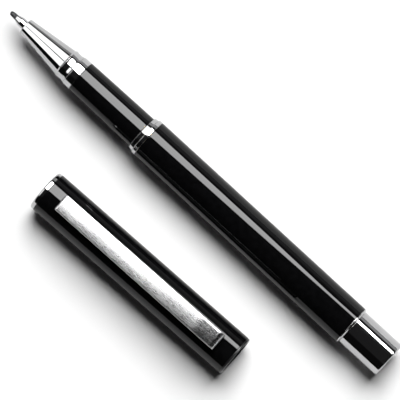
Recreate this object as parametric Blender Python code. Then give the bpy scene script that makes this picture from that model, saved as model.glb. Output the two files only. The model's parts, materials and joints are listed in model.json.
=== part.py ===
"""Rollerball pen lying uncapped, with its cap beside it.

The pen lies along X with its point towards -X, and the cap lies on its -Y side, its mouth
towards +X and its clip on top. Both rest on the plane Z = 0. Lengths in the tables of
outlines are millimetres: the first value is the distance from the point (on the pen) or
from the crown's end (on the cap), the second is the radius.
"""
import math

import bmesh
import bpy
from mathutils import Matrix, Vector

MM = 0.001

# ---- driving dimensions, millimetres -------------------------------------------------

# stations along the pen, from the front of the ball
NEEDLE_END = 1.87
NOSE_FRONT = 4.82
CONE_END = 17.75
BEAD_TOP = 18.50
NECK_START = 19.10
NOSE_RING_FRONT = 20.35
SECTION_FRONT = 22.50
COLLAR_FRONT = 42.00
BARREL_RING_FRONT = 43.20
BARREL_FRONT = 44.25
END_RING_FRONT = 108.54
PLUG_FRONT = 109.12
PEN_LENGTH = 120.67

# radii of the pen
NEEDLE_RADIUS = 0.69
NOZZLE_RADIUS = 1.15
NOSE_FRONT_RADIUS = 1.83
CONE_END_RADIUS = 3.66
BEAD_RADIUS = 3.93
NECK_RADIUS = 3.79
NOSE_RING_RADIUS = 4.07
SECTION_FRONT_RADIUS = 4.06
SECTION_REAR_RADIUS = 4.28
COLLAR_RADIUS = 4.81
BARREL_RING_RADIUS = 5.03
BARREL_FRONT_RADIUS = 4.98
BARREL_REAR_RADIUS = 5.11
PLUG_RADIUS = 4.68

# the refill: a standard 6.1 mm rollerball refill
BALL_RADIUS = 0.35
REFILL_RADIUS = 3.05
REFILL_BORE = 2.65
REFILL_TUBE_FRONT = 24.0
REFILL_TUBE_REAR = 108.5
REFILL_REAR = 110.3
SHOULDER = 17.60
SPRING_REAR = 116.30
SPRING_RADIUS = 2.35
SPRING_WIRE = 0.25
SPRING_TURNS = 4

# threads, as plain running diameters
SPIGOT_RADIUS = 3.45
THREAD_RADIUS = 4.00
THREAD_END = 51.60
FIT = 0.05

# the cap, from the crown's end to the mouth
CAP_LENGTH = 59.47
CAP_RADIUS = 5.25
CAP_BORE = 4.85
CROWN_LENGTH = 1.10
CROWN_RADIUS = 5.27
LIP_LENGTH = 0.52
LINER_RADIUS = 4.80
LINER_BORE = 4.42
LINER_END = 14.20
SNAP_RIDGE = 36.60

# the clip
CLIP_START = 5.29
CLIP_LENGTH = 49.40
CLIP_WIDTH = 4.70
CLIP_THICKNESS = 0.90
CLIP_ROOT_TOP = 6.75
CLIP_TIP_TOP = 8.10
CLIP_BEVEL = 0.36
CLIP_FOOT = 5.36
TANG_WIDTH = 3.00
TANG_DEPTH = 3.90
TANG_ROOM = 0.20
HINGE_HEIGHT = 5.05
CLIP_SKEW = math.radians(-0.45)

# how the cap lies beside the pen: the crown's place measured from the pen's point
CROWN_ALONG = 34.25
CROWN_ASIDE = 25.19
CAP_YAW = math.radians(1.47)
CAP_ROLL = math.radians(-2.9)

OUTER_SEGMENTS = 40
INNER_SEGMENTS = 24
TIP_SEGMENTS = 20

# the origin is the middle of the whole object's footprint
PEN_X = -PEN_LENGTH / 2
PEN_Y = (CROWN_ASIDE + CROWN_RADIUS - BARREL_REAR_RADIUS) / 2
PEN_Z = BARREL_REAR_RADIUS
CAP_Z = CROWN_RADIUS


# ---- materials -----------------------------------------------------------------------

def principled(name, colour, roughness, metallic, coat=0.0):
    """A Principled BSDF with a part's plain colour, roughness and metallic value."""
    material = bpy.data.materials.new(name)
    material.use_nodes = True
    shader = material.node_tree.nodes["Principled BSDF"]
    shader.inputs["Base Color"].default_value = (*colour, 1.0)
    shader.inputs["Roughness"].default_value = roughness
    shader.inputs["Metallic"].default_value = metallic
    shader.inputs["Coat Weight"].default_value = coat
    material.diffuse_color = (*colour, 1.0)
    return material


def finishes():
    """The finishes that the pieces take theirs from."""
    return {
        "chrome": ((0.80, 0.80, 0.81), 0.08, 1.0),
        "lacquer": ((0.006, 0.006, 0.007), 0.10, 0.0, 1.0),
        "brass": ((0.72, 0.53, 0.24), 0.25, 1.0),
        "black_plastic": ((0.012, 0.012, 0.013), 0.35, 0.0),
        "refill_plastic": ((0.70, 0.72, 0.74), 0.30, 0.0),
        "tip_steel": ((0.22, 0.22, 0.23), 0.30, 1.0),
        "spring_steel": ((0.55, 0.55, 0.56), 0.25, 1.0),
        "carbide": ((0.35, 0.35, 0.37), 0.15, 1.0),
        "ink_fibre": ((0.02, 0.025, 0.09), 0.95, 0.0),
    }


# ---- modelling helpers ---------------------------------------------------------------

def place(obj, parent, material_name):
    """Link an object under its parent and give it a material of its own."""
    bpy.context.scene.collection.objects.link(obj)
    obj.parent = parent
    obj.data.materials.append(principled(obj.name + "_finish", *finishes()[material_name]))
    return obj


def empty(name, parent, location, rotation=(0.0, 0.0, 0.0)):
    """A frame that pieces are placed in, with its axes where their motion needs them."""
    frame = bpy.data.objects.new(name, None)
    bpy.context.scene.collection.objects.link(frame)
    frame.parent = parent
    frame.location = Vector(location) * MM
    frame.rotation_euler = rotation
    return frame


def shade(mesh):
    """Smooth round faces and keep real corners sharp."""
    mesh.shade_smooth()
    mesh.set_sharp_from_angle(angle=math.radians(28))


def arc(centre_x, centre_r, radius, start, end, steps=3):
    """Points on a circle in the outline's plane, from one angle to another in degrees."""
    angles = [math.radians(start + (end - start) * i / steps) for i in range(steps + 1)]
    return [(centre_x + radius * math.cos(a), centre_r + radius * math.sin(a)) for a in angles]


def turned(name, material, parent, outline, segments=OUTER_SEGMENTS):
    """Turn an outline about X: a closed ring of points, or a line that ends on the axis."""
    bm = bmesh.new()
    verts = [bm.verts.new((x * MM, 0.0, r * MM)) for x, r in outline]
    edges = [bm.edges.new(pair) for pair in zip(verts, verts[1:])]
    if outline[0][1] > 0.0:
        edges.append(bm.edges.new((verts[-1], verts[0])))
    bmesh.ops.spin(bm, geom=verts + edges, axis=(1, 0, 0), cent=(0, 0, 0),
                   angle=2 * math.pi, steps=segments, use_merge=True)
    bmesh.ops.remove_doubles(bm, verts=bm.verts, dist=0.002 * MM)
    bmesh.ops.recalc_face_normals(bm, faces=bm.faces)
    mesh = bpy.data.meshes.new(name)
    bm.to_mesh(mesh)
    bm.free()
    shade(mesh)
    return place(bpy.data.objects.new(name, mesh), parent, material)


def sleeve(front, rear, outer, bore, chamfer=0.08):
    """The outline of a plain sleeve with chamfered outer corners."""
    return [(front, outer - chamfer), (front + chamfer, outer),
            (rear - chamfer, outer), (rear, outer - chamfer), (rear, bore), (front, bore)]


def box_cutter(name, parent, low, high):
    """A hidden box that cuts a slot or a pocket."""
    bm = bmesh.new()
    size = (Vector(high) - Vector(low)) * MM
    middle = (Vector(high) + Vector(low)) * MM / 2
    matrix = Matrix.Translation(middle) @ Matrix.Diagonal((*size, 1.0))
    bmesh.ops.create_cube(bm, size=1.0, matrix=matrix)
    mesh = bpy.data.meshes.new(name)
    bm.to_mesh(mesh)
    bm.free()
    cutter = bpy.data.objects.new(name, mesh)
    bpy.context.scene.collection.objects.link(cutter)
    cutter.parent = parent
    cutter.hide_render = True
    cutter.display_type = "WIRE"
    return cutter


def cut(obj, cutter):
    """Cut one object by another."""
    modifier = obj.modifiers.new("cut_" + cutter.name, "BOOLEAN")
    modifier.operation = "DIFFERENCE"
    modifier.solver = "EXACT"
    modifier.object = cutter


# ---- the front section ---------------------------------------------------------------

def nose_cone(pen):
    """Chrome cone with the snap bead, the neck and the spigot that screws into the grip."""
    outside = [
        (NOSE_FRONT, NOSE_FRONT_RADIUS - 0.15), (NOSE_FRONT + 0.12, NOSE_FRONT_RADIUS),
        (CONE_END, CONE_END_RADIUS), (CONE_END + 0.3, CONE_END_RADIUS + 0.1),
        (BEAD_TOP - 0.3, BEAD_RADIUS - 0.05), (BEAD_TOP, BEAD_RADIUS),
        (BEAD_TOP + 0.3, BEAD_RADIUS - 0.04), (NECK_START, NECK_RADIUS),
        (NOSE_RING_FRONT - 0.04, NECK_RADIUS), (NOSE_RING_FRONT - 0.04, SPIGOT_RADIUS),
        (27.6, SPIGOT_RADIUS), (27.8, SPIGOT_RADIUS - 0.2),
    ]
    inside = [
        (27.8, REFILL_RADIUS + 0.1), (SHOULDER - 0.1, REFILL_RADIUS + 0.1),
        (SHOULDER - 0.1, 2.20), (12.5, 2.20), (7.0, NOZZLE_RADIUS + 0.09),
        (NOSE_FRONT, NOZZLE_RADIUS + 0.09),
    ]
    turned("nose_cone", "chrome", pen, outside + inside)


def front_section(pen):
    """The grip with its two trims and the sleeve that carries the male thread."""
    nose_cone(pen)
    turned("nose_ring", "chrome", pen,
           sleeve(NOSE_RING_FRONT, SECTION_FRONT - 0.04, NOSE_RING_RADIUS, SPIGOT_RADIUS + FIT))
    bore = SPIGOT_RADIUS + FIT
    turned("section_tube", "lacquer", pen, [
        (SECTION_FRONT, SECTION_FRONT_RADIUS - 0.06),
        (SECTION_FRONT + 0.06, SECTION_FRONT_RADIUS),
        (COLLAR_FRONT - 0.10, SECTION_REAR_RADIUS),
        (COLLAR_FRONT - 0.04, SECTION_REAR_RADIUS - 0.06),
        (COLLAR_FRONT - 0.04, bore), (SECTION_FRONT, bore)])
    flange = BARREL_RING_FRONT - 0.02
    inner = REFILL_RADIUS + 0.15
    turned("threaded_connector", "brass", pen, [
        (34.0, SPIGOT_RADIUS), (flange, SPIGOT_RADIUS), (flange, THREAD_RADIUS),
        (THREAD_END - 0.3, THREAD_RADIUS), (THREAD_END, THREAD_RADIUS - 0.3),
        (THREAD_END, inner), (34.0, inner)], INNER_SEGMENTS)
    turned("section_collar", "chrome", pen, [
        (COLLAR_FRONT, SECTION_REAR_RADIUS + 0.06), (COLLAR_FRONT + 0.35, 4.65),
        (COLLAR_FRONT + 0.75, COLLAR_RADIUS - 0.03), (flange - 0.08, COLLAR_RADIUS),
        (flange - 0.02, COLLAR_RADIUS - 0.06),
        (flange - 0.02, bore), (COLLAR_FRONT, bore)])


# ---- the barrel ----------------------------------------------------------------------

def barrel(pen):
    """The rear half of the pen: trims, tube, thread bush and end plug."""
    turned("barrel_ring", "chrome", pen,
           sleeve(BARREL_RING_FRONT, BARREL_FRONT - 0.05, BARREL_RING_RADIUS,
                  THREAD_RADIUS + 0.1))
    tube_bore = 4.50
    core_radius = tube_bore - 0.04
    rear = END_RING_FRONT - 0.04
    turned("barrel_tube", "lacquer", pen, [
        (BARREL_FRONT, BARREL_FRONT_RADIUS - 0.06), (BARREL_FRONT + 0.06, BARREL_FRONT_RADIUS),
        (rear - 0.06, BARREL_REAR_RADIUS), (rear, BARREL_REAR_RADIUS - 0.06),
        (rear, tube_bore), (BARREL_FRONT, tube_bore)])
    turned("barrel_thread_bush", "brass", pen,
           sleeve(BARREL_FRONT + 0.1, THREAD_END + 1.6, core_radius, THREAD_RADIUS + FIT),
           INNER_SEGMENTS)
    core_neck = 4.10
    turned("barrel_end_ring", "chrome", pen, [
        (END_RING_FRONT, BARREL_REAR_RADIUS - 0.10),
        (END_RING_FRONT + 0.06, BARREL_REAR_RADIUS - 0.04),
        (END_RING_FRONT + 0.20, BARREL_REAR_RADIUS - 0.04),
        (PLUG_FRONT - 0.04, PLUG_RADIUS + 0.04),
        (PLUG_FRONT - 0.04, core_neck + FIT), (END_RING_FRONT, core_neck + FIT)])
    corner = 0.42
    turned("end_plug", "chrome", pen, [
        (PLUG_FRONT, PLUG_RADIUS - 0.04), (PLUG_FRONT + 0.05, PLUG_RADIUS)]
        + arc(PEN_LENGTH - corner, PLUG_RADIUS - corner, corner, 90, 0)
        + [(PEN_LENGTH, 0.0), (119.4, 0.0), (119.4, core_neck + FIT),
           (PLUG_FRONT, core_neck + FIT), (PLUG_FRONT, PLUG_RADIUS - 0.04)])
    pocket = REFILL_RADIUS + 0.25
    turned("plug_core", "black_plastic", pen, [
        (118.0, 0.0), (118.0, core_neck), (rear - 0.02, core_neck), (rear - 0.02, core_radius),
        (100.0, core_radius), (100.0, pocket), (SPRING_REAR + 0.15, pocket),
        (SPRING_REAR + 0.15, 0.0)], INNER_SEGMENTS)


# ---- the refill ----------------------------------------------------------------------

def refill_point(pen):
    """The needle that holds the ball, and the ball on its own centre."""
    cup = BALL_RADIUS + 0.035
    channel = 0.13
    needle_rear = NEEDLE_END + 2.2
    turned("refill_tip", "tip_steel", pen, [
        (0.10, 0.37), (0.50, 0.57), (NEEDLE_END - 0.10, NEEDLE_RADIUS),
        (NEEDLE_END - 0.02, NEEDLE_RADIUS - 0.06), (NEEDLE_END - 0.02, 0.42),
        (needle_rear, 0.42), (needle_rear, channel), (0.74, channel)]
        + arc(BALL_RADIUS, 0.0, cup, 40, 130, 5), TIP_SEGMENTS)
    bm = bmesh.new()
    bmesh.ops.create_uvsphere(bm, u_segments=16, v_segments=10, radius=BALL_RADIUS * MM)
    mesh = bpy.data.meshes.new("writing_ball")
    bm.to_mesh(mesh)
    bm.free()
    shade(mesh)
    ball = place(bpy.data.objects.new("writing_ball", mesh), pen, "carbide")
    ball.location = (BALL_RADIUS * MM, 0.0, 0.0)


def coil_points():
    """Points of the spring's wire: a helix that sits between the refill and its pocket."""
    start = REFILL_REAR + 0.1 + SPRING_WIRE
    end = SPRING_REAR - SPRING_WIRE
    steps = 14 * SPRING_TURNS
    points = []
    for i in range(steps + 1):
        angle = 2 * math.pi * SPRING_TURNS * i / steps
        x = start + (end - start) * i / steps
        points.append((x, SPRING_RADIUS * math.cos(angle), SPRING_RADIUS * math.sin(angle)))
    return points


def refill_spring(pen):
    """A wire coil with closed ends."""
    curve = bpy.data.curves.new("refill_spring", "CURVE")
    curve.dimensions = "3D"
    curve.bevel_depth = SPRING_WIRE * MM
    curve.bevel_resolution = 1
    curve.use_fill_caps = True
    points = coil_points()
    spline = curve.splines.new("POLY")
    spline.points.add(len(points) - 1)
    for point, (x, y, z) in zip(spline.points, points):
        point.co = (x * MM, y * MM, z * MM, 1.0)
    place(bpy.data.objects.new("refill_spring", curve), pen, "spring_steel")


def refill(pen):
    """The refill: nozzle, tube, fibre reservoir, wick and end plug."""
    refill_point(pen)
    bore = 0.47
    shank = REFILL_BORE - 0.05
    turned("refill_nozzle", "chrome", pen, [
        (NEEDLE_END + 0.02, 0.76), (3.10, NOZZLE_RADIUS - 0.04), (3.30, NOZZLE_RADIUS),
        (8.5, NOZZLE_RADIUS), (12.6, 2.0), (SHOULDER, 2.0), (SHOULDER, 2.85),
        (REFILL_TUBE_FRONT - 0.05, 2.85), (REFILL_TUBE_FRONT - 0.05, shank),
        (28.0, shank), (28.0, bore), (NEEDLE_END + 0.02, bore)], INNER_SEGMENTS)
    turned("ink_wick", "ink_fibre", pen,
           [(4.2, 0.0), (4.2, 0.35), (28.0, 0.35), (28.0, 0.0)], TIP_SEGMENTS)
    turned("refill_tube", "refill_plastic", pen,
           sleeve(REFILL_TUBE_FRONT, REFILL_TUBE_REAR, REFILL_RADIUS, REFILL_BORE),
           INNER_SEGMENTS)
    plug_front = REFILL_TUBE_REAR - 4.0
    turned("ink_reservoir", "ink_fibre", pen,
           [(28.2, 0.0), (28.2, shank - 0.02), (plug_front - 0.2, shank - 0.02),
            (plug_front - 0.2, 0.0)], INNER_SEGMENTS)
    turned("refill_end_plug", "black_plastic", pen, [
        (plug_front, 0.0), (plug_front, shank), (REFILL_TUBE_REAR + 0.05, shank),
        (REFILL_TUBE_REAR + 0.05, REFILL_RADIUS), (REFILL_REAR - 0.1, REFILL_RADIUS),
        (REFILL_REAR, REFILL_RADIUS - 0.1), (REFILL_REAR, 0.0)], INNER_SEGMENTS)


# ---- the cap -------------------------------------------------------------------------

def tang_box(name, clip_frame, grow, low, high):
    """A hidden box round the clip's tang, grown on its four sides."""
    along = CLIP_THICKNESS / 2 + grow
    across = TANG_WIDTH / 2 + grow
    return box_cutter(name, clip_frame, (-along, -across, low - HINGE_HEIGHT),
                      (along, across, high - HINGE_HEIGHT))


def cap_shell(cap, clip_frame):
    """The crown, the core behind it and the lacquered tube with the clip's slot."""
    skirt = CAP_BORE - 0.07
    skirt_bore = 4.20
    corner = 0.52
    turned("crown_cap", "chrome", cap, [(0.0, 0.0)]
           + arc(corner, CROWN_RADIUS - corner, corner, 180, 90, 4)
           + [(CROWN_LENGTH, CROWN_RADIUS), (CROWN_LENGTH, skirt), (3.5, skirt),
              (3.5, skirt_bore), (CROWN_LENGTH, skirt_bore), (CROWN_LENGTH, 0.0)])
    core = turned("crown_plug", "black_plastic", cap, [
        (CROWN_LENGTH + 0.04, 0.0), (CROWN_LENGTH + 0.04, skirt_bore - 0.05),
        (3.55, skirt_bore - 0.05), (3.55, skirt), (LINER_END - 0.4, skirt),
        (LINER_END - 0.4, 0.0)], INNER_SEGMENTS)
    cut(core, tang_box("tang_pocket", clip_frame, TANG_ROOM + 0.05, TANG_DEPTH - 0.3, 6.0))
    tube_front = CROWN_LENGTH + 0.04
    tube_rear = CAP_LENGTH - LIP_LENGTH - 0.03
    tube = turned("cap_tube", "lacquer", cap, [
        (tube_front, CAP_RADIUS - 0.06), (tube_front + 0.06, CAP_RADIUS),
        (tube_rear - 0.06, CAP_RADIUS), (tube_rear, CAP_RADIUS - 0.06),
        (tube_rear, CAP_BORE), (tube_front, CAP_BORE)])
    cut(tube, tang_box("tang_slot", clip_frame, TANG_ROOM, TANG_DEPTH, 6.5))


def inner_cap(cap):
    """Plastic liner: a rounded lip at the mouth, a snap ridge and a closed end."""
    lip = CAP_LENGTH - LIP_LENGTH
    lip_radius = CAP_RADIUS - 0.03
    corner = 0.40
    deep_bore = LINER_BORE - 0.22
    ridge = NECK_RADIUS + 0.07
    turned("inner_cap", "black_plastic", cap, [
        (LINER_END, 0.0), (LINER_END, LINER_RADIUS), (lip, LINER_RADIUS), (lip, lip_radius)]
        + arc(CAP_LENGTH - corner, lip_radius - corner, corner, 90, 0)
        + [(CAP_LENGTH, LINER_BORE + 0.15), (CAP_LENGTH - 0.15, LINER_BORE),
           (SNAP_RIDGE + 1.0, LINER_BORE), (SNAP_RIDGE + 0.4, ridge),
           (SNAP_RIDGE - 0.4, ridge), (SNAP_RIDGE - 0.8, deep_bore),
           (LINER_END + 0.8, deep_bore), (LINER_END + 0.8, 0.0)])


def clip_side():
    """The clip seen from its side: heel over the tang, straight rising bar, turned-down tip."""
    back = CLIP_THICKNESS / 2
    tip = CLIP_LENGTH - back
    slope = (CLIP_TIP_TOP - CLIP_ROOT_TOP) / (tip + back)
    foot = CLIP_FOOT - HINGE_HEIGHT

    def top(x):
        return CLIP_ROOT_TOP - HINGE_HEIGHT + slope * (x + back)

    def under(x):
        return top(x) - CLIP_THICKNESS

    heel = [(-back, foot)] + arc(0.0, top(0.0) - back, back, 180, 90)
    bend = [(tip - 1.3, top(tip - 1.3)), (tip - 0.75, top(tip) - 0.18),
            (tip - 0.28, top(tip) - 0.60), (tip, top(tip) - 1.25)]
    lip = [(tip, foot + 0.08), (tip - 0.12, foot), (tip - 0.68, foot),
           (tip - 0.80, foot + 0.12), (tip - 0.85, under(tip) - 0.45),
           (tip - 1.3, under(tip - 1.3))]
    throat = [(back + 0.4, under(back + 0.4)), (back, under(back) - 0.3), (back, foot)]
    return heel + bend + lip + throat


def clip(clip_frame):
    """Flat bar clip with a bevelled face, and a narrower tang below its heel."""
    outline = clip_side()
    half = CLIP_WIDTH / 2 * MM
    bm = bmesh.new()
    verts = [bm.verts.new((x * MM, -half, z * MM)) for x, z in outline]
    face = bm.faces.new(verts)
    moved = bmesh.ops.extrude_face_region(bm, geom=[face])["geom"]
    bmesh.ops.translate(bm, vec=(0.0, 2 * half, 0.0),
                        verts=[v for v in moved if isinstance(v, bmesh.types.BMVert)])
    bmesh.ops.recalc_face_normals(bm, faces=bm.faces)
    upper = (CLIP_ROOT_TOP - HINGE_HEIGHT - 1.0) * MM
    rim = [e for e in bm.edges
           if abs(e.verts[0].co.y - e.verts[1].co.y) < 1e-7
           and min(v.co.z for v in e.verts) > upper
           and sum(abs(f.normal.y) > 0.9 for f in e.link_faces) == 1
           and all(f.normal.z > -0.5 for f in e.link_faces)]
    bmesh.ops.bevel(bm, geom=rim, offset=CLIP_BEVEL * MM, segments=1, profile=0.5,
                    affect="EDGES")
    mesh = bpy.data.meshes.new("clip")
    bm.to_mesh(mesh)
    bm.free()
    shade(mesh)
    bar = place(bpy.data.objects.new("clip", mesh), clip_frame, "chrome")
    tang = tang_box("clip_tang", clip_frame, -0.02, TANG_DEPTH, CLIP_FOOT + 0.2)
    union = bar.modifiers.new("tang", "BOOLEAN")
    union.operation = "UNION"
    union.solver = "EXACT"
    union.object = tang


# ---- assembly ------------------------------------------------------------------------

def main():
    for obj in list(bpy.data.objects):
        bpy.data.objects.remove(obj, do_unlink=True)
    pen = empty("pen_axis", None, (PEN_X, PEN_Y, PEN_Z))
    cap = empty("cap_axis", None, (PEN_X + CROWN_ALONG, PEN_Y - CROWN_ASIDE, CAP_Z),
                (CAP_ROLL, 0.0, CAP_YAW))
    clip_frame = empty("clip_hinge", cap, (CLIP_START + CLIP_THICKNESS / 2, 0.0, HINGE_HEIGHT),
                       (0.0, 0.0, CLIP_SKEW))
    front_section(pen)
    barrel(pen)
    refill(pen)
    refill_spring(pen)
    cap_shell(cap, clip_frame)
    inner_cap(cap)
    clip(clip_frame)


main()
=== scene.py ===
"""Looks of the rollerball pen that lies uncapped beside its cap.

The pen, the cap and the clip each have an axis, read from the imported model, and the pieces are
shaped in millimetres along and about those axes. The first value of a turned outline's point is
the distance from the pen's point or from the crown's end, the second is the radius, and the
third, where there is one, is the radius of the rounded corner there. The materials, the studio
and the camera are in metres.
"""

import json
import math

import bmesh
import bpy
from mathutils import Matrix, Vector

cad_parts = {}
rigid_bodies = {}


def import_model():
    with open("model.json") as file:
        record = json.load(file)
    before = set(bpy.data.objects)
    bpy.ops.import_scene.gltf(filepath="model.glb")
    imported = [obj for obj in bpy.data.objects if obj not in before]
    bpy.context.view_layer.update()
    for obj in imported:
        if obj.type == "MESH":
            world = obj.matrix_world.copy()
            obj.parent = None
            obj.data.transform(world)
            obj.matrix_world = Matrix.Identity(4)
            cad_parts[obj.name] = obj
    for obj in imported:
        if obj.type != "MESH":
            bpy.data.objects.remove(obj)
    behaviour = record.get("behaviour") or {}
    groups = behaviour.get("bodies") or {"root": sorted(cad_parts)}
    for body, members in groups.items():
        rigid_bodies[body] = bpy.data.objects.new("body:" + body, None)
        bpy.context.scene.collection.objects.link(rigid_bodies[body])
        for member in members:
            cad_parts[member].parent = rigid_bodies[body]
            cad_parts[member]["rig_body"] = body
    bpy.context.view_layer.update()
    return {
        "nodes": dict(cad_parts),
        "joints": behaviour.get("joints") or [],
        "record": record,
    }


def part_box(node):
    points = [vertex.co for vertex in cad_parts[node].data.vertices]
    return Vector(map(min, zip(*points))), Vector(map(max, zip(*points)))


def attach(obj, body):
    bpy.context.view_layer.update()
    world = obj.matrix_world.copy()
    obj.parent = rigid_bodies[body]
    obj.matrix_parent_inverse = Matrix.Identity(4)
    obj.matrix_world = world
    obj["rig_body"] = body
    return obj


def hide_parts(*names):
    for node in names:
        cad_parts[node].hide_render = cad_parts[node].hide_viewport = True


MM = 0.001

# Steps round a turned piece
SEGMENTS = 144
FINE_SEGMENTS = 64
BALL_SEGMENTS = 48

# Corners flatter than this are shaded smooth, in degrees
SHARP = 28.0
THREAD_SHARP = 50.0

# Bores that several pieces share
SPIGOT_BORE = 3.5
CORE_BORE = 4.15

# How deep the clip's tang goes into the cap, from the clip's axis
TANG_END = -1.15

# How high the clip's heel and the lip at its tip end above the clip's axis
CLIP_FOOT = 0.31

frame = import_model()
record = frame["record"]


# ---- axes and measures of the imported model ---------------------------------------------

def along(direction, side, origin):
    """A frame with X along a direction, Y towards a side and its origin at a point."""
    x = Vector(direction).normalized()
    z = x.cross(Vector(side)).normalized()
    y = z.cross(x)
    rotation = Matrix((x, y, z)).transposed()
    return Matrix.Translation(Vector(origin)) @ rotation.to_4x4()


def named(rows):
    """Rows of the record by their names."""
    return {row["name"]: row for row in rows}


mounts = named(record["mounts"])
joints = named(frame["joints"])
plug_face = Vector(mounts["plug_end"]["pos_m"])
pen_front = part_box("writing_ball")[0][0]
clip_side = -Vector(joints["clip_flex"]["axis"])
crown = mounts["crown_end"]

pen_axis = Matrix.Translation((pen_front, plug_face.y, plug_face.z))
cap_axis = along(-Vector(crown["axis"]), clip_side, crown["pos_m"])
clip_forward = clip_side.cross(cap_axis.col[2].to_3d())
clip_axis = along(clip_forward, clip_side, joints["clip_flex"]["pos_m"])


def points_about(node, axis):
    """A node's points in an axis's own frame, in mm."""
    inverse = axis.inverted()
    return [inverse @ v.co / MM for v in frame["nodes"][node].data.vertices]


def measure(node, axis):
    """A turned node's front, rear, front radius and rear radius about its axis, in mm."""
    points = points_about(node, axis)
    front = min(p.x for p in points)
    rear = max(p.x for p in points)
    end_depth = 0.15
    front_radius = max(math.hypot(p.y, p.z) for p in points if p.x < front + end_depth)
    rear_radius = max(math.hypot(p.y, p.z) for p in points if p.x > rear - end_depth)
    return front, rear, front_radius, rear_radius


# ---- material helpers ------------------------------------------------------------------

class Finish:
    """A procedural material: a Principled BSDF and the textures that feed it."""

    def __init__(self, name, **sockets):
        self.material = bpy.data.materials.new(name)
        self.material.use_nodes = True
        self.nodes = self.material.node_tree.nodes
        self.links = self.material.node_tree.links
        self.shader = self.nodes["Principled BSDF"]
        for socket, value in sockets.items():
            self.shader.inputs[socket.replace("_", " ")].default_value = value
        self.place = self.nodes.new("ShaderNodeTexCoord").outputs["Object"]

    def stretched(self, stretch):
        """Object coordinates scaled on each axis."""
        node = self.nodes.new("ShaderNodeMapping")
        node.inputs["Scale"].default_value = stretch
        self.links.new(self.place, node.inputs["Vector"])
        return node.outputs["Vector"]

    def noise(self, per_metre, detail=2.0, stretch=(1.0, 1.0, 1.0), roughness=0.5):
        """Noise with so many features to the metre."""
        node = self.nodes.new("ShaderNodeTexNoise")
        node.inputs["Scale"].default_value = per_metre
        node.inputs["Detail"].default_value = detail
        node.inputs["Roughness"].default_value = roughness
        self.links.new(self.stretched(stretch), node.inputs["Vector"])
        return node.outputs["Fac"]

    def spread(self, factor, low, high, start=0.3, end=0.7):
        """A value mapped smoothly from start..end to low..high, by default a noise's."""
        node = self.nodes.new("ShaderNodeMapRange")
        node.interpolation_type = "SMOOTHSTEP"
        node.inputs["From Min"].default_value = start
        node.inputs["From Max"].default_value = end
        node.inputs["To Min"].default_value = low
        node.inputs["To Max"].default_value = high
        self.links.new(factor, node.inputs["Value"])
        return node.outputs["Result"]

    def blend(self, factor, first, second):
        """A colour between two others, each a plain colour or a socket."""
        node = self.nodes.new("ShaderNodeMix")
        node.data_type = "RGBA"
        self.links.new(factor, node.inputs["Factor"])
        for socket, colour in (("A", first), ("B", second)):
            if isinstance(colour, tuple):
                node.inputs[socket].default_value = (*colour, 1.0)
            else:
                self.links.new(colour, node.inputs[socket])
        return node.outputs["Result"]

    def calculate(self, operation, *values):
        """A number worked out from sockets and plain numbers."""
        node = self.nodes.new("ShaderNodeMath")
        node.operation = operation
        for socket, value in zip(node.inputs, values):
            if isinstance(value, float):
                socket.default_value = value
            else:
                self.links.new(value, socket)
        return node.outputs["Value"]

    def distance(self, axis, direction):
        """How far a point lies along one direction of an axis's frame, in millimetres."""
        *towards, shift = (value / MM for value in axis.inverted()[direction])
        dot = self.nodes.new("ShaderNodeVectorMath")
        dot.operation = "DOT_PRODUCT"
        self.links.new(self.place, dot.inputs[0])
        dot.inputs[1].default_value = towards
        return self.calculate("ADD", dot.outputs["Value"], shift)

    def patch(self, axis, start, end, side, edge, ragged):
        """1 inside a patch along and across an axis, 0 outside, with a ragged start.

        start, end and side are each the pair of places that the patch fades between.
        """
        length = self.distance(axis, 0)
        across = self.calculate("ABSOLUTE", self.distance(axis, 1))
        torn = self.calculate("MULTIPLY_ADD", edge, ragged, length)
        middle = ragged / 2
        begun = self.spread(torn, 0.0, 1.0, start[0] + middle, start[1] + middle)
        before_end = self.spread(length, 1.0, 0.0, *end)
        within = self.spread(across, 1.0, 0.0, *side)
        lengthwise = self.calculate("MULTIPLY", begun, before_end)
        return self.calculate("MULTIPLY", lengthwise, within)

    def relief(self, height, depth, below=None):
        """A bump of a height field, its depth in metres, on top of another bump."""
        node = self.nodes.new("ShaderNodeBump")
        node.inputs["Strength"].default_value = 1.0
        node.inputs["Distance"].default_value = depth
        self.links.new(height, node.inputs["Height"])
        if below is not None:
            self.links.new(below, node.inputs["Normal"])
        return node.outputs["Normal"]

    def feed(self, **sources):
        """Link sources to the shader's sockets and give the material."""
        for socket, source in sources.items():
            self.links.new(source, self.shader.inputs[socket.replace("_", " ")])
        return self.material


def polished_chrome():
    """Plated brass, polished: hairline scratches and a faint waviness."""
    finish = Finish("polished_chrome", Metallic=1.0, IOR=2.5)
    haze = finish.noise(260.0, 3.0)
    hairlines = finish.noise(900.0, 4.0, (0.35, 6.0, 6.0), 0.7)
    colour = finish.blend(finish.spread(haze, 0.0, 1.0), (0.45, 0.45, 0.455), (0.50, 0.50, 0.505))
    roughness = finish.spread(hairlines, 0.03, 0.07)
    wavy = finish.relief(finish.noise(120.0, 1.0), 0.000004)
    normal = finish.relief(hairlines, 0.0000003, wavy)
    return finish.feed(Base_Color=colour, Roughness=roughness, Normal=normal)


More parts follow.
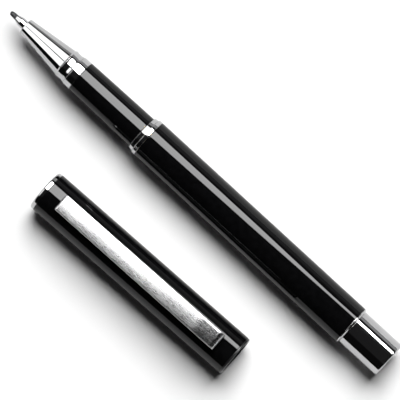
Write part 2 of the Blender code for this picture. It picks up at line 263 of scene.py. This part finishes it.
def clip_chrome():
    """Chrome over rolled strip: soft and wavy, with a painted dark reflection, stippled, before
    the tip.
    """
    finish = Finish("clip_chrome", Metallic=1.0, IOR=2.5)
    clouds = finish.noise(110.0, 1.0, (0.35, 1.0, 1.0))
    grain = finish.noise(1400.0, 4.0, (0.25, 2.0, 2.0), 0.7)
    specks = finish.noise(3600.0, 4.0)
    edge = finish.noise(420.0, 2.0)
    # Where the dark reflection before the tip is painted on
    patch = finish.patch(clip_axis, start=(41.0, 43.6), end=(47.9, 48.3), side=(1.65, 2.0),
                         edge=edge, ragged=2.4)
    colour = finish.blend(finish.spread(clouds, 0.0, 1.0), (0.50, 0.50, 0.505),
                          (0.66, 0.66, 0.66))
    # The painted dark reflection: near-black specks on grey
    painted_dark_reflection = finish.blend(finish.spread(specks, 0.0, 1.0), (0.012, 0.012, 0.013),
                           (0.22, 0.22, 0.22))
    colour = finish.blend(patch, colour, painted_dark_reflection)
    roughness = finish.spread(grain, 0.25, 0.30)
    wavy = finish.relief(clouds, 0.00010)
    normal = finish.relief(finish.calculate("MULTIPLY", patch, specks), 0.00003, wavy)
    return finish.feed(Base_Color=colour, Roughness=roughness, Normal=normal)


def black_lacquer():
    """Deep gloss lacquer: a faint orange peel and a clear coat."""
    finish = Finish("black_lacquer", Coat_Weight=0.6, Coat_Roughness=0.015, Coat_IOR=1.42,
                    Specular_IOR_Level=0.0)
    peel = finish.noise(700.0, 2.0)
    wear = finish.noise(2400.0, 5.0, (0.3, 3.0, 3.0), 0.75)
    colour = finish.blend(finish.spread(peel, 0.0, 1.0), (0.0016, 0.0016, 0.0018),
                          (0.0026, 0.0026, 0.0029))
    roughness = finish.spread(wear, 0.03, 0.07)
    normal = finish.relief(peel, 0.0000004)
    return finish.feed(Base_Color=colour, Roughness=roughness, Normal=normal,
                       Coat_Normal=normal)


def turned_brass():
    """Turned brass with fine tool marks round it and a little tarnish."""
    finish = Finish("turned_brass", Metallic=1.0)
    tarnish = finish.noise(400.0, 4.0)
    marks = finish.noise(5000.0, 2.0, (1.0, 0.02, 0.02))
    colour = finish.blend(finish.spread(tarnish, 0.0, 1.0), (0.60, 0.41, 0.16),
                          (0.78, 0.58, 0.28))
    roughness = finish.spread(tarnish, 0.34, 0.20)
    normal = finish.relief(marks, 0.000002)
    return finish.feed(Base_Color=colour, Roughness=roughness, Normal=normal)


def moulded_black():
    """Moulded black plastic with a fine satin grain."""
    finish = Finish("moulded_black", IOR=1.49)
    grain = finish.noise(5200.0, 3.0)
    clouds = finish.noise(220.0, 2.0)
    colour = finish.blend(finish.spread(clouds, 0.0, 1.0), (0.007, 0.007, 0.0075),
                          (0.013, 0.013, 0.014))
    roughness = finish.spread(grain, 0.24, 0.38)
    normal = finish.relief(grain, 0.0000015)
    return finish.feed(Base_Color=colour, Roughness=roughness, Normal=normal)


def pale_plastic():
    """The refill's pale tube, a little cloudy, with draw lines along it."""
    finish = Finish("pale_plastic", IOR=1.5)
    clouds = finish.noise(180.0, 3.0)
    lines = finish.noise(1500.0, 2.0, (0.03, 1.0, 1.0))
    colour = finish.blend(finish.spread(clouds, 0.0, 1.0), (0.62, 0.65, 0.68),
                          (0.74, 0.76, 0.78))
    roughness = finish.spread(lines, 0.22, 0.34)
    normal = finish.relief(lines, 0.000001)
    return finish.feed(Base_Color=colour, Roughness=roughness, Normal=normal)


def dark_steel():
    """The needle's dark turned steel, with tool marks round it and faint stains."""
    finish = Finish("dark_steel", Metallic=1.0)
    marks = finish.noise(9000.0, 2.0, (1.0, 0.02, 0.02))
    stain = finish.noise(1600.0, 4.0)
    colour = finish.blend(finish.spread(stain, 0.0, 1.0), (0.030, 0.030, 0.031),
                          (0.060, 0.060, 0.062))
    roughness = finish.spread(marks, 0.42, 0.56)
    normal = finish.relief(marks, 0.000002)
    return finish.feed(Base_Color=colour, Roughness=roughness, Normal=normal)


def spring_wire():
    """Drawn wire with die lines."""
    finish = Finish("spring_wire", Metallic=1.0)
    lines = finish.noise(7000.0, 3.0, (0.4, 1.0, 1.0))
    colour = finish.blend(finish.spread(lines, 0.0, 1.0), (0.46, 0.46, 0.47), (0.60, 0.60, 0.61))
    roughness = finish.spread(lines, 0.20, 0.34)
    return finish.feed(Base_Color=colour, Roughness=roughness,
                       Normal=finish.relief(lines, 0.000001))


def ground_carbide():
    """The ground and polished ball."""
    finish = Finish("ground_carbide", Metallic=1.0)
    grains = finish.noise(24000.0, 3.0)
    colour = finish.blend(finish.spread(grains, 0.0, 1.0), (0.28, 0.28, 0.30), (0.38, 0.38, 0.40))
    roughness = finish.spread(grains, 0.12, 0.22)
    return finish.feed(Base_Color=colour, Roughness=roughness,
                       Normal=finish.relief(grains, 0.0000004))


def inky_fibre():
    """Bonded fibre soaked in ink, its strands along the refill."""
    finish = Finish("inky_fibre", IOR=1.4)
    strands = finish.noise(6000.0, 3.0, (0.04, 1.0, 1.0), 0.7)
    colour = finish.blend(finish.spread(strands, 0.0, 1.0), (0.008, 0.010, 0.045),
                          (0.030, 0.036, 0.120))
    roughness = finish.spread(strands, 0.60, 0.95)
    return finish.feed(Base_Color=colour, Roughness=roughness,
                       Normal=finish.relief(strands, 0.00002))


FINISHES = {
    "chrome": polished_chrome(),
    "lacquer": black_lacquer(),
    "brass": turned_brass(),
    "black_plastic": moulded_black(),
    "refill_plastic": pale_plastic(),
    "tip_steel": dark_steel(),
    "spring_steel": spring_wire(),
    "carbide": ground_carbide(),
    "ink_fibre": inky_fibre(),
}


# ---- mesh helpers ----------------------------------------------------------------------

def rounded(points, closed=True):
    """An outline with an arc at each corner that has a rounding radius."""
    most_of_run = 0.48
    degrees_a_step = 11
    result = []
    count = len(points)
    for i, point in enumerate(points):
        here = Vector(point[:2])
        radius = point[2] if len(point) > 2 else 0.0
        is_end = not closed and i in (0, count - 1)
        if radius == 0.0 or is_end:
            result.append(here)
            continue
        back = Vector(points[i - 1][:2]) - here
        ahead = Vector(points[(i + 1) % count][:2]) - here
        half = back.angle(ahead) / 2
        reach = min(radius / math.tan(half), most_of_run * back.length,
                    most_of_run * ahead.length)
        back.normalize()
        ahead.normalize()
        arc_radius = reach * math.tan(half)
        centre = here + (back + ahead).normalized() * (reach / math.cos(half))
        start = here + back * reach - centre
        turn = math.pi - 2 * half
        steps = max(2, math.ceil(math.degrees(turn) / degrees_a_step))
        if start.cross(here + ahead * reach - centre) < 0:
            turn = -turn
        spoke = start.normalized() * arc_radius
        for k in range(steps + 1):
            result.append(centre + Matrix.Rotation(turn * k / steps, 2) @ spoke)
    return result


def held(points, closed=True, gap=0.03):
    """Extra points close to the ends of long runs, so that smooth shading stays on them."""
    result = []
    pairs = zip(points, points[1:] + points[:1]) if closed else zip(points, points[1:])
    for here, after in pairs:
        result.append(here)
        step = after - here
        if step.length > 5 * gap:
            result.append(here + step.normalized() * gap)
            result.append(after - step.normalized() * gap)
    if not closed:
        result.append(points[-1])
    return result


def shade(mesh, sharp=SHARP):
    """Smooth shading but for the real corners."""
    mesh.shade_smooth()
    mesh.set_sharp_from_angle(angle=math.radians(sharp))


def finish_mesh(name, bm, axis, sharp=SHARP):
    """An object in its place from a bmesh in millimetres along an axis."""
    bmesh.ops.recalc_face_normals(bm, faces=bm.faces)
    mesh = bpy.data.meshes.new(name)
    bm.to_mesh(mesh)
    bm.free()
    mesh.transform(axis @ Matrix.Scale(MM, 4))
    shade(mesh, sharp)
    obj = bpy.data.objects.new(name, mesh)
    bpy.context.scene.collection.objects.link(obj)
    return obj


def dress(obj, node, slot, material=None):
    """Put a fine piece in its node's place: the finish of its slot, its node's body, and the node
    hidden.
    """
    body = frame["nodes"][node]["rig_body"]
    obj.data.materials.append(material or FINISHES[slot])
    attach(obj, body)
    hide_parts(node)


def ring(bm, x, radii):
    """A ring of points round X, one for each radius."""
    angles = [2 * math.pi * i / len(radii) for i in range(len(radii))]
    return [bm.verts.new((x, radius * math.sin(angle), radius * math.cos(angle)))
            for angle, radius in zip(angles, radii)]


def skin(bm, rings):
    """Faces from each ring to the next. A ring may be a single point."""
    for first, second in zip(rings, rings[1:]):
        for i in range(max(len(first), len(second))):
            corners = [first[(i - 1) % len(first)], first[i % len(first)],
                       second[i % len(second)], second[(i - 1) % len(second)]]
            bm.faces.new(tuple(dict.fromkeys(corners)))


def turned(name, axis, outline, segments=SEGMENTS):
    """Turn an outline about X: a closed ring, or a line that starts and ends on the axis."""
    closed = outline[0][1] > 0.0 or outline[-1][1] > 0.0
    points = held(rounded(outline, closed), closed)
    bm = bmesh.new()
    rings = [ring(bm, p.x, [p.y] * (segments if p.y > 0.0 else 1)) for p in points]
    skin(bm, rings + rings[:1] if closed else rings)
    return finish_mesh(name, bm, axis)


# ---- the front section -----------------------------------------------------------------

def nose_cone():
    """The cone with its snap bead and its neck, and the spigot that goes into the grip."""
    front, rear, front_radius, spigot = measure("nose_cone", pen_axis)
    spigot += 0.2
    shoulder = measure("nose_ring", pen_axis)[0] - 0.04
    mouth = measure("refill_nozzle", pen_axis)[2] + 0.48
    neck = 3.90
    throat = 2.2
    chamber = 3.15
    chamber_start = 17.5
    outline = [
        (front, mouth, 0.04), (front, front_radius + 0.15, 0.12), (17.58, 3.63, 0.06),
        (17.74, 3.78, 0.05), (17.98, 3.93, 0.10), (18.46, 3.79, 0.10), (19.50, 3.75, 0.10),
        (20.12, neck, 0.05), (shoulder, neck, 0.03), (shoulder, spigot),
        (rear, spigot, 0.2), (rear, chamber), (chamber_start, chamber),
        (chamber_start, throat), (12.5, throat), (7.0, mouth),
    ]
    dress(turned("chrome_nose_cone", pen_axis, outline), "nose_cone", "chrome")


def nose_ring():
    front, rear, outer, _ = measure("nose_ring", pen_axis)
    outline = [(front, SPIGOT_BORE), (front, outer, 0.16), (rear, outer, 0.16),
               (rear, SPIGOT_BORE)]
    dress(turned("chrome_nose_ring", pen_axis, outline), "nose_ring", "chrome")


def grip():
    front, rear, front_radius, rear_radius = measure("section_tube", pen_axis)
    outline = [(front, SPIGOT_BORE), (front, front_radius, 0.06), (rear, rear_radius, 0.06),
               (rear, SPIGOT_BORE)]
    dress(turned("lacquered_grip", pen_axis, outline), "section_tube", "lacquer")


def grip_collar():
    front, rear, front_radius, outer = measure("section_collar", pen_axis)
    outline = [
        (front, SPIGOT_BORE), (front, front_radius, 0.03), (front + 0.14, 4.66, 0.06),
        (rear - 0.06, outer - 0.04, 0.04), (rear, outer - 0.10), (rear, SPIGOT_BORE),
    ]
    dress(turned("chrome_grip_collar", pen_axis, outline), "section_collar", "chrome")


# ---- the barrel ------------------------------------------------------------------------

def slip_ring():
    front, rear, outer, _ = measure("barrel_ring", pen_axis)
    bore = 4.1
    outline = [(front, bore, 0.05), (front, outer, 0.12), (rear, outer, 0.12),
               (rear, bore, 0.05)]
    dress(turned("chrome_slip_ring", pen_axis, outline), "barrel_ring", "chrome")


def barrel_tube():
    front, rear, front_radius, rear_radius = measure("barrel_tube", pen_axis)
    bore = 4.5
    outline = [(front, bore), (front, front_radius, 0.06), (rear, rear_radius, 0.06),
               (rear, bore)]
    dress(turned("lacquered_barrel", pen_axis, outline), "barrel_tube", "lacquer")


def barrel_trim():
    front, rear, outer, rear_radius = measure("barrel_end_ring", pen_axis)
    bevel_start = front + 0.24
    outline = [(front, CORE_BORE), (front, outer, 0.08), (bevel_start, outer, 0.12),
               (rear, rear_radius, 0.04), (rear, CORE_BORE)]
    dress(turned("chrome_barrel_trim", pen_axis, outline), "barrel_end_ring", "chrome")


def end_plug():
    front, rear, outer, _ = measure("end_plug", pen_axis)
    floor = 119.4
    outline = [(rear, 0.0), (rear, outer, 0.42), (front, outer, 0.05), (front, CORE_BORE),
               (floor, CORE_BORE), (floor, 0.0)]
    dress(turned("chrome_end_plug", pen_axis, outline), "end_plug", "chrome")


# ---- the refill ------------------------------------------------------------------------

def refill_front():
    """The plated nozzle: a slim nose, a cone and the shank in the refill's tube."""
    front, rear, front_radius, rear_radius = measure("refill_nozzle", pen_axis)
    bore = 0.47
    nose = 1.15
    body = 2.0
    body_end = 17.6
    shank = 2.85
    shank_end = 23.95
    outline = [
        (front, bore), (front, front_radius, 0.04), (3.10, nose - 0.04, 0.08),
        (3.30, nose, 0.08), (8.5, nose), (12.6, body), (body_end, body), (body_end, shank),
        (shank_end, shank), (shank_end, 2.6), (rear, rear_radius), (rear, bore),
    ]
    dress(turned("chrome_refill_nozzle", pen_axis, outline, FINE_SEGMENTS), "refill_nozzle",
          "chrome")


def needle():
    """The dark needle, its front rounded over the ball, with a fine bore for the ink."""
    front, rear, front_radius, _ = measure("refill_tip", pen_axis)
    bore = 0.13
    stem = 0.42
    stem_start = 1.85
    outline = [
        (0.55, bore), (front + 0.02, 0.33, 0.02), (front, front_radius, 0.03),
        (0.50, 0.57, 0.2), (1.77, 0.69, 0.1), (stem_start, 0.63), (stem_start, stem),
        (rear, stem), (rear, bore),
    ]
    dress(turned("steel_needle", pen_axis, outline, FINE_SEGMENTS), "refill_tip", "tip_steel")


# ---- the cap ---------------------------------------------------------------------------

def cap_crown():
    front, rear, _, _ = measure("crown_cap", cap_axis)
    outer = 5.27
    lip = 1.10
    skirt = 4.78
    bore = 4.2
    outline = [(front, 0.0), (front, outer, 0.52), (lip, outer, 0.03), (lip, skirt),
               (rear, skirt), (rear, bore), (lip, bore), (lip, 0.0)]
    dress(turned("chrome_crown", cap_axis, outline), "crown_cap", "chrome")


def cap_liner():
    """The liner with its rounded lip at the mouth and the ridge that snaps on the bead."""
    front, rear, _, _ = measure("inner_cap", cap_axis)
    outer = 4.8
    lip = 5.22
    lip_start = 58.95
    bore = 4.42
    ridge = 3.86
    inner_bore = 4.2
    floor = 15.0
    outline = [
        (front, 0.0), (front, outer), (lip_start, outer), (lip_start, lip, 0.08),
        (rear, lip, 0.40), (rear, bore + 0.1, 0.15), (58.9, bore, 0.1), (37.6, bore, 0.1),
        (37.0, ridge, 0.1), (36.2, ridge, 0.1), (35.8, inner_bore, 0.1),
        (floor, inner_bore, 0.4), (floor, 0.0),
    ]
    dress(turned("black_cap_liner", cap_axis, outline), "inner_cap", "black_plastic")


def box_mesh(low, high):
    """A closed box in millimetres, for cutting and joining."""
    bm = bmesh.new()
    size = Vector(high) - Vector(low)
    middle = (Vector(high) + Vector(low)) / 2
    bmesh.ops.create_cube(bm, size=1.0,
                          matrix=Matrix.Translation(middle) @ Matrix.Diagonal((*size, 1.0)))
    return bm


def combined(obj, tool, operation):
    """Cut or join a mesh with a tool, keep the result as its own mesh, drop the tool."""
    modifier = obj.modifiers.new(operation, "BOOLEAN")
    modifier.operation = operation
    modifier.solver = "EXACT"
    modifier.object = tool
    bpy.context.view_layer.update()
    graph = bpy.context.evaluated_depsgraph_get()
    mesh = bpy.data.meshes.new_from_object(obj.evaluated_get(graph))
    old = obj.data
    obj.modifiers.clear()
    obj.data = mesh
    bpy.data.meshes.remove(old)
    bpy.data.objects.remove(tool)
    mesh.name = obj.name
    shade(mesh)
    return obj


def cap_tube():
    """The lacquered tube, a coat of lacquer larger than its node, with the tang's slot."""
    front, rear, outer, _ = measure("cap_tube", cap_axis)
    outer += 0.06
    bore = 4.85
    outline = [(front, bore), (front, outer, 0.06), (rear, outer, 0.06), (rear, bore)]
    tube = turned("lacquered_cap", cap_axis, outline)
    along_slot = 0.65
    across_slot = 1.70
    slot = finish_mesh("slot_tool", box_mesh((-along_slot, -across_slot, TANG_END),
                                             (along_slot, across_slot, 1.45)), clip_axis)
    dress(combined(tube, slot, "DIFFERENCE"), "cap_tube", "lacquer")


# ---- the clip --------------------------------------------------------------------------

def offset_inward(points, amounts):
    """A closed outline moved inwards, each point by its own amount."""
    count = len(points)
    area = sum(points[i - 1].cross(points[i]) for i in range(count))
    turn = 1.0 if area > 0 else -1.0
    moved = []
    for i, point in enumerate(points):
        edge = (points[(i + 1) % count] - points[i - 1]).normalized()
        inward = Vector((-edge.y, edge.x)) * turn
        moved.append(point + inward * amounts[i])
    return moved


def clip_outline(back, tip, heel_top, tip_top):
    """The clip from its side: a heel, a straight rising face and a turned-down tip."""
    foot = CLIP_FOOT
    thickness = 0.90
    bend = 1.3
    slope = (tip_top - heel_top) / (tip - bend)
    lip = tip - 0.85

    def under(x):
        return heel_top + slope * x - thickness

    return [
        (-back, foot), (-back, heel_top - slope * back, 0.45),
        (tip, tip_top + slope * bend, bend), (tip, foot, 0.10), (lip + 0.05, foot, 0.12),
        (lip, under(lip), 0.45), (back, under(back), 0.35), (back, foot),
    ]


def edge_rounds(ring, tip):
    """How round the long edges are at each point: soft above, crisp below and at the foot."""
    soft = 0.36
    crisp = 0.10
    facing = 0.3
    inner = offset_inward(ring, [1.0] * len(ring))
    rounds = []
    for point, moved in zip(ring, inner):
        up = (point - moved).normalized().y
        at_end = point.x < 0.0 or point.x > tip - 0.1
        rise = min(max((point.y - CLIP_FOOT - 0.1) / 0.7, 0.0), 1.0)
        is_seen = up > facing or (up > -facing and at_end)
        rounds.append(crisp + (soft - crisp) * rise if is_seen else crisp)
    return rounds


def clip_bar():
    """The clip's side outline carried across its width with rounded edges, and its tang."""
    points = points_about("clip", clip_axis)
    back = -min(p.x for p in points)
    tip = max(p.x for p in points)
    half = max(p.y for p in points)
    heel_top = max(p.z for p in points if p.x < 1.0)
    tip_top = max(p.z for p in points)
    lower_side = half - 0.2
    ring = held(rounded(clip_outline(back, tip, heel_top, tip_top)), gap=0.05)
    rounds = edge_rounds(ring, tip)
    steps = 5
    bm = bmesh.new()
    loops = []
    for side, face in ((-1.0, lower_side), (1.0, half)):
        for k in range(steps + 1):
            angle = math.pi / 2 * (k / steps if side < 0 else 1 - k / steps)
            inset = offset_inward(ring, [r * (1 - math.sin(angle)) for r in rounds])
            loops.append([bm.verts.new((p.x, side * (face - r * (1 - math.cos(angle))), p.y))
                          for p, r in zip(inset, rounds)])
    skin(bm, loops)
    bm.faces.new(loops[0])
    bm.faces.new(reversed(loops[-1]))
    bar = finish_mesh("flat_clip", bm, clip_axis)
    along_tang = 0.43
    across_tang = 1.48
    tang = finish_mesh("tang_tool", box_mesh((-along_tang, -across_tang, TANG_END),
                                             (along_tang, across_tang, 0.60)), clip_axis)
    dress(combined(bar, tang, "UNION"), "clip", "chrome", clip_chrome())


# ---- the thread and the ball -----------------------------------------------------------

def threaded_sleeve():
    """The brass sleeve with its real thread, seen when the barrel is unscrewed."""
    front, rear, _, _ = measure("threaded_connector", pen_axis)
    flange = 43.18
    flange_gap = 0.02
    spigot = 3.45
    bore = 3.2
    crest = 3.98
    root = 3.55
    pitch = 0.75
    peak = 1.6
    flank = 4.4
    runout = 0.25
    around = 96
    rows_a_pitch = 14
    rows = math.ceil((rear - flange) / pitch * rows_a_pitch)

    def thread(x, turn):
        """The thread's radius at a place along the pen and a part of a turn."""
        phase = ((x - flange) / pitch - turn) % 1.0
        ridge = min(max(peak - flank * abs(phase - 0.5), 0.0), 1.0)
        fade = min((rear - runout - x) / pitch, (x - flange) / pitch, 1.0)
        return root + (crest - root) * ridge * min(max(fade, 0.0), 1.0)

    bm = bmesh.new()
    rings = [ring(bm, x, [radius] * around) for x, radius in
             ((front, bore), (front, spigot), (flange - flange_gap, spigot))]
    for j in range(rows + 1):
        x = flange + (rear - flange) * j / rows
        rings.append(ring(bm, x, [thread(x, i / around) for i in range(around)]))
    rings.append(ring(bm, rear, [bore] * around))
    skin(bm, rings + rings[:1])
    dress(finish_mesh("brass_threaded_sleeve", bm, pen_axis, THREAD_SHARP),
          "threaded_connector", "brass")


def thread_bush():
    front, rear, front_radius, _ = measure("barrel_thread_bush", pen_axis)
    bore = 4.06
    outline = [(front, bore, 0.08), (front, front_radius, 0.10), (rear, front_radius, 0.10),
               (rear, bore, 0.08)]
    dress(turned("brass_thread_bush", pen_axis, outline), "barrel_thread_bush", "brass")


def ball():
    front, rear, _, _ = measure("writing_ball", pen_axis)
    centre = (front + rear) / 2
    size = (rear - front) / 2
    steps = 24
    outline = [(centre - size * math.cos(math.pi * k / steps),
                size * math.sin(math.pi * k / steps)) for k in range(steps + 1)]
    outline[-1] = (rear, 0.0)
    dress(turned("carbide_ball", pen_axis, outline, BALL_SEGMENTS), "writing_ball", "carbide")


# ---- the studio ------------------------------------------------------------------------

def panel(name, corners, radiance):
    """A panel that only reflections see. It glows on the side that its normal points to."""
    mesh = bpy.data.meshes.new(name)
    mesh.from_pydata(corners, [], [tuple(range(len(corners)))])
    material = bpy.data.materials.new(name)
    material.use_nodes = True
    nodes = material.node_tree.nodes
    links = material.node_tree.links
    nodes.clear()
    glow = nodes.new("ShaderNodeEmission")
    glow.inputs["Strength"].default_value = radiance
    clear = nodes.new("ShaderNodeBsdfTransparent")
    sides = nodes.new("ShaderNodeNewGeometry")
    mix = nodes.new("ShaderNodeMixShader")
    output = nodes.new("ShaderNodeOutputMaterial")
    links.new(sides.outputs["Backfacing"], mix.inputs["Fac"])
    links.new(glow.outputs["Emission"], mix.inputs[1])
    links.new(clear.outputs["BSDF"], mix.inputs[2])
    links.new(mix.outputs["Shader"], output.inputs["Surface"])
    mesh.materials.append(material)
    obj = bpy.data.objects.new(name, mesh)
    bpy.context.scene.collection.objects.link(obj)
    obj.visible_camera = False
    obj.visible_diffuse = False
    obj.visible_shadow = False


def white_floor():
    """A plain white floor."""
    bpy.ops.mesh.primitive_circle_add(vertices=64, radius=4.0, fill_type="NGON")
    floor = bpy.context.object
    floor.name = "floor"
    white = Finish("floor_white", Roughness=0.9, Specular_IOR_Level=0.0)
    shade = white.spread(white.noise(40.0, 2.0), 0.0, 1.0)
    floor.data.materials.append(white.feed(
        Base_Color=white.blend(shade, (0.80, 0.80, 0.80), (0.81, 0.81, 0.81))))


def soft_sun():
    """A broad soft light from the pen's far side, which reflections don't see."""
    sun = bpy.data.lights.new("soft_sun", "SUN")
    sun.energy = 5.05
    sun.angle = math.radians(42)
    lamp = bpy.data.objects.new("soft_sun", sun)
    bpy.context.scene.collection.objects.link(lamp)
    lamp.rotation_euler = (math.radians(-33.4), math.radians(-15), 0.0)
    lamp.visible_glossy = False


def backdrop():
    """A pale glowing wall round the floor, which only the camera sees in low views."""
    bpy.ops.mesh.primitive_cylinder_add(vertices=64, radius=3.9, depth=6.0,
                                        end_fill_type="NOTHING")
    wall = bpy.context.object
    wall.name = "backdrop"
    pale = Finish("backdrop_pale", Roughness=0.9, Specular_IOR_Level=0.0,
                  Emission_Strength=0.85)
    shade = pale.spread(pale.noise(0.6, 1.0), 0.0, 1.0)
    pale.shader.inputs["Base Color"].default_value = (0.0, 0.0, 0.0, 1.0)
    wall.data.materials.append(pale.feed(
        Emission_Color=pale.blend(shade, (0.90, 0.90, 0.90), (0.94, 0.94, 0.94))))
    wall.visible_diffuse = False
    wall.visible_glossy = False
    wall.visible_shadow = False


def softboxes():
    """Panels over the pen that face down, and a grey wall behind it.

    The long one tapers towards the tail, and the other two light the nose cone.
    """
    height = 0.30
    bright = 19.0
    faint = 2.4
    near = [(-0.105, 0.032), (-0.068, 0.033), (-0.0465, 0.047), (-0.0418, 0.107),
            (-0.0278, 0.128), (-0.0053, 0.162), (0.0222, 0.243), (0.0323, 0.266),
            (0.09, 0.275)]
    far = [(0.09, 0.405), (0.03, 0.405), (0.018, 0.375), (-0.015, 0.445), (-0.105, 0.445)]
    side = [(-0.13, -0.006), (-0.19, -0.34), (-0.60, -0.34), (-0.50, -0.006)]
    cone = [(-0.105, 0.032), (-0.105, 0.445), (-0.60, 0.445), (-0.60, 0.032)]

    def overhead(name, outline, radiance):
        panel(name, [(x, y, height) for x, y in outline], radiance)

    overhead("long_softbox", (near + far)[::-1], bright)
    overhead("point_softbox", side, faint)
    overhead("cone_softbox", cone[::-1], faint)
    wall = [(-0.60, 0.9, 0.01), (0.60, 0.9, 0.01), (0.60, 0.9, 0.33), (-0.60, 0.9, 0.33)]
    panel("grey_wall", wall, 0.42)


def dark_room():
    """A dark room, darker still on the cap's side."""
    world = bpy.data.worlds.new("dark_room")
    world.use_nodes = True
    nodes = world.node_tree.nodes
    links = world.node_tree.links
    place = nodes.new("ShaderNodeTexCoord")
    split = nodes.new("ShaderNodeSeparateXYZ")
    level = nodes.new("ShaderNodeMapRange")
    level.inputs["From Min"].default_value = -0.63
    level.inputs["From Max"].default_value = -0.60
    level.inputs["To Min"].default_value = 0.006
    level.inputs["To Max"].default_value = 0.022
    links.new(place.outputs["Generated"], split.inputs["Vector"])
    links.new(split.outputs["Y"], level.inputs["Value"])
    links.new(level.outputs["Result"], nodes["Background"].inputs["Strength"])
    nodes["Background"].inputs["Color"].default_value = (1.0, 1.0, 1.02, 1.0)
    bpy.context.scene.world = world
    bpy.context.scene.view_settings.view_transform = "Standard"


def camera():
    """A long lens high above, a little towards the pen's tail."""
    aim = Vector((0.00238, 0.01035, 0.005))
    distance = 1.29
    tilt = math.radians(3.98)
    turn = math.radians(42.66)
    field = math.radians(4.154)
    rotation = Matrix.Rotation(tilt, 4, "Y") @ Matrix.Rotation(turn, 4, "Z")
    back = rotation @ Vector((0.0, 0.0, distance))
    data = bpy.data.cameras.new("camera")
    data.sensor_width = 36.0
    data.lens = data.sensor_width / 2 / math.tan(field / 2)
    data.clip_start = 0.05
    data.clip_end = 20.0
    obj = bpy.data.objects.new("camera", data)
    bpy.context.scene.collection.objects.link(obj)
    obj.matrix_world = Matrix.Translation(aim + back) @ rotation
    bpy.context.scene.camera = obj


def finish_nodes():
    """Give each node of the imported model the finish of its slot, the hidden ones too."""
    slots = {row["node"]: row["material_slot"] for row in record["subparts"]}
    for name, node in frame["nodes"].items():
        node.data.materials.clear()
        node.data.materials.append(FINISHES[slots[name]])


camera()
for build in (nose_cone, nose_ring, grip, grip_collar, slip_ring, barrel_tube, barrel_trim,
              end_plug, refill_front, needle, cap_crown, cap_liner, cap_tube, clip_bar,
              threaded_sleeve, thread_bush, ball):
    build()
finish_nodes()
softboxes()
white_floor()
soft_sun()
backdrop()
dark_room()
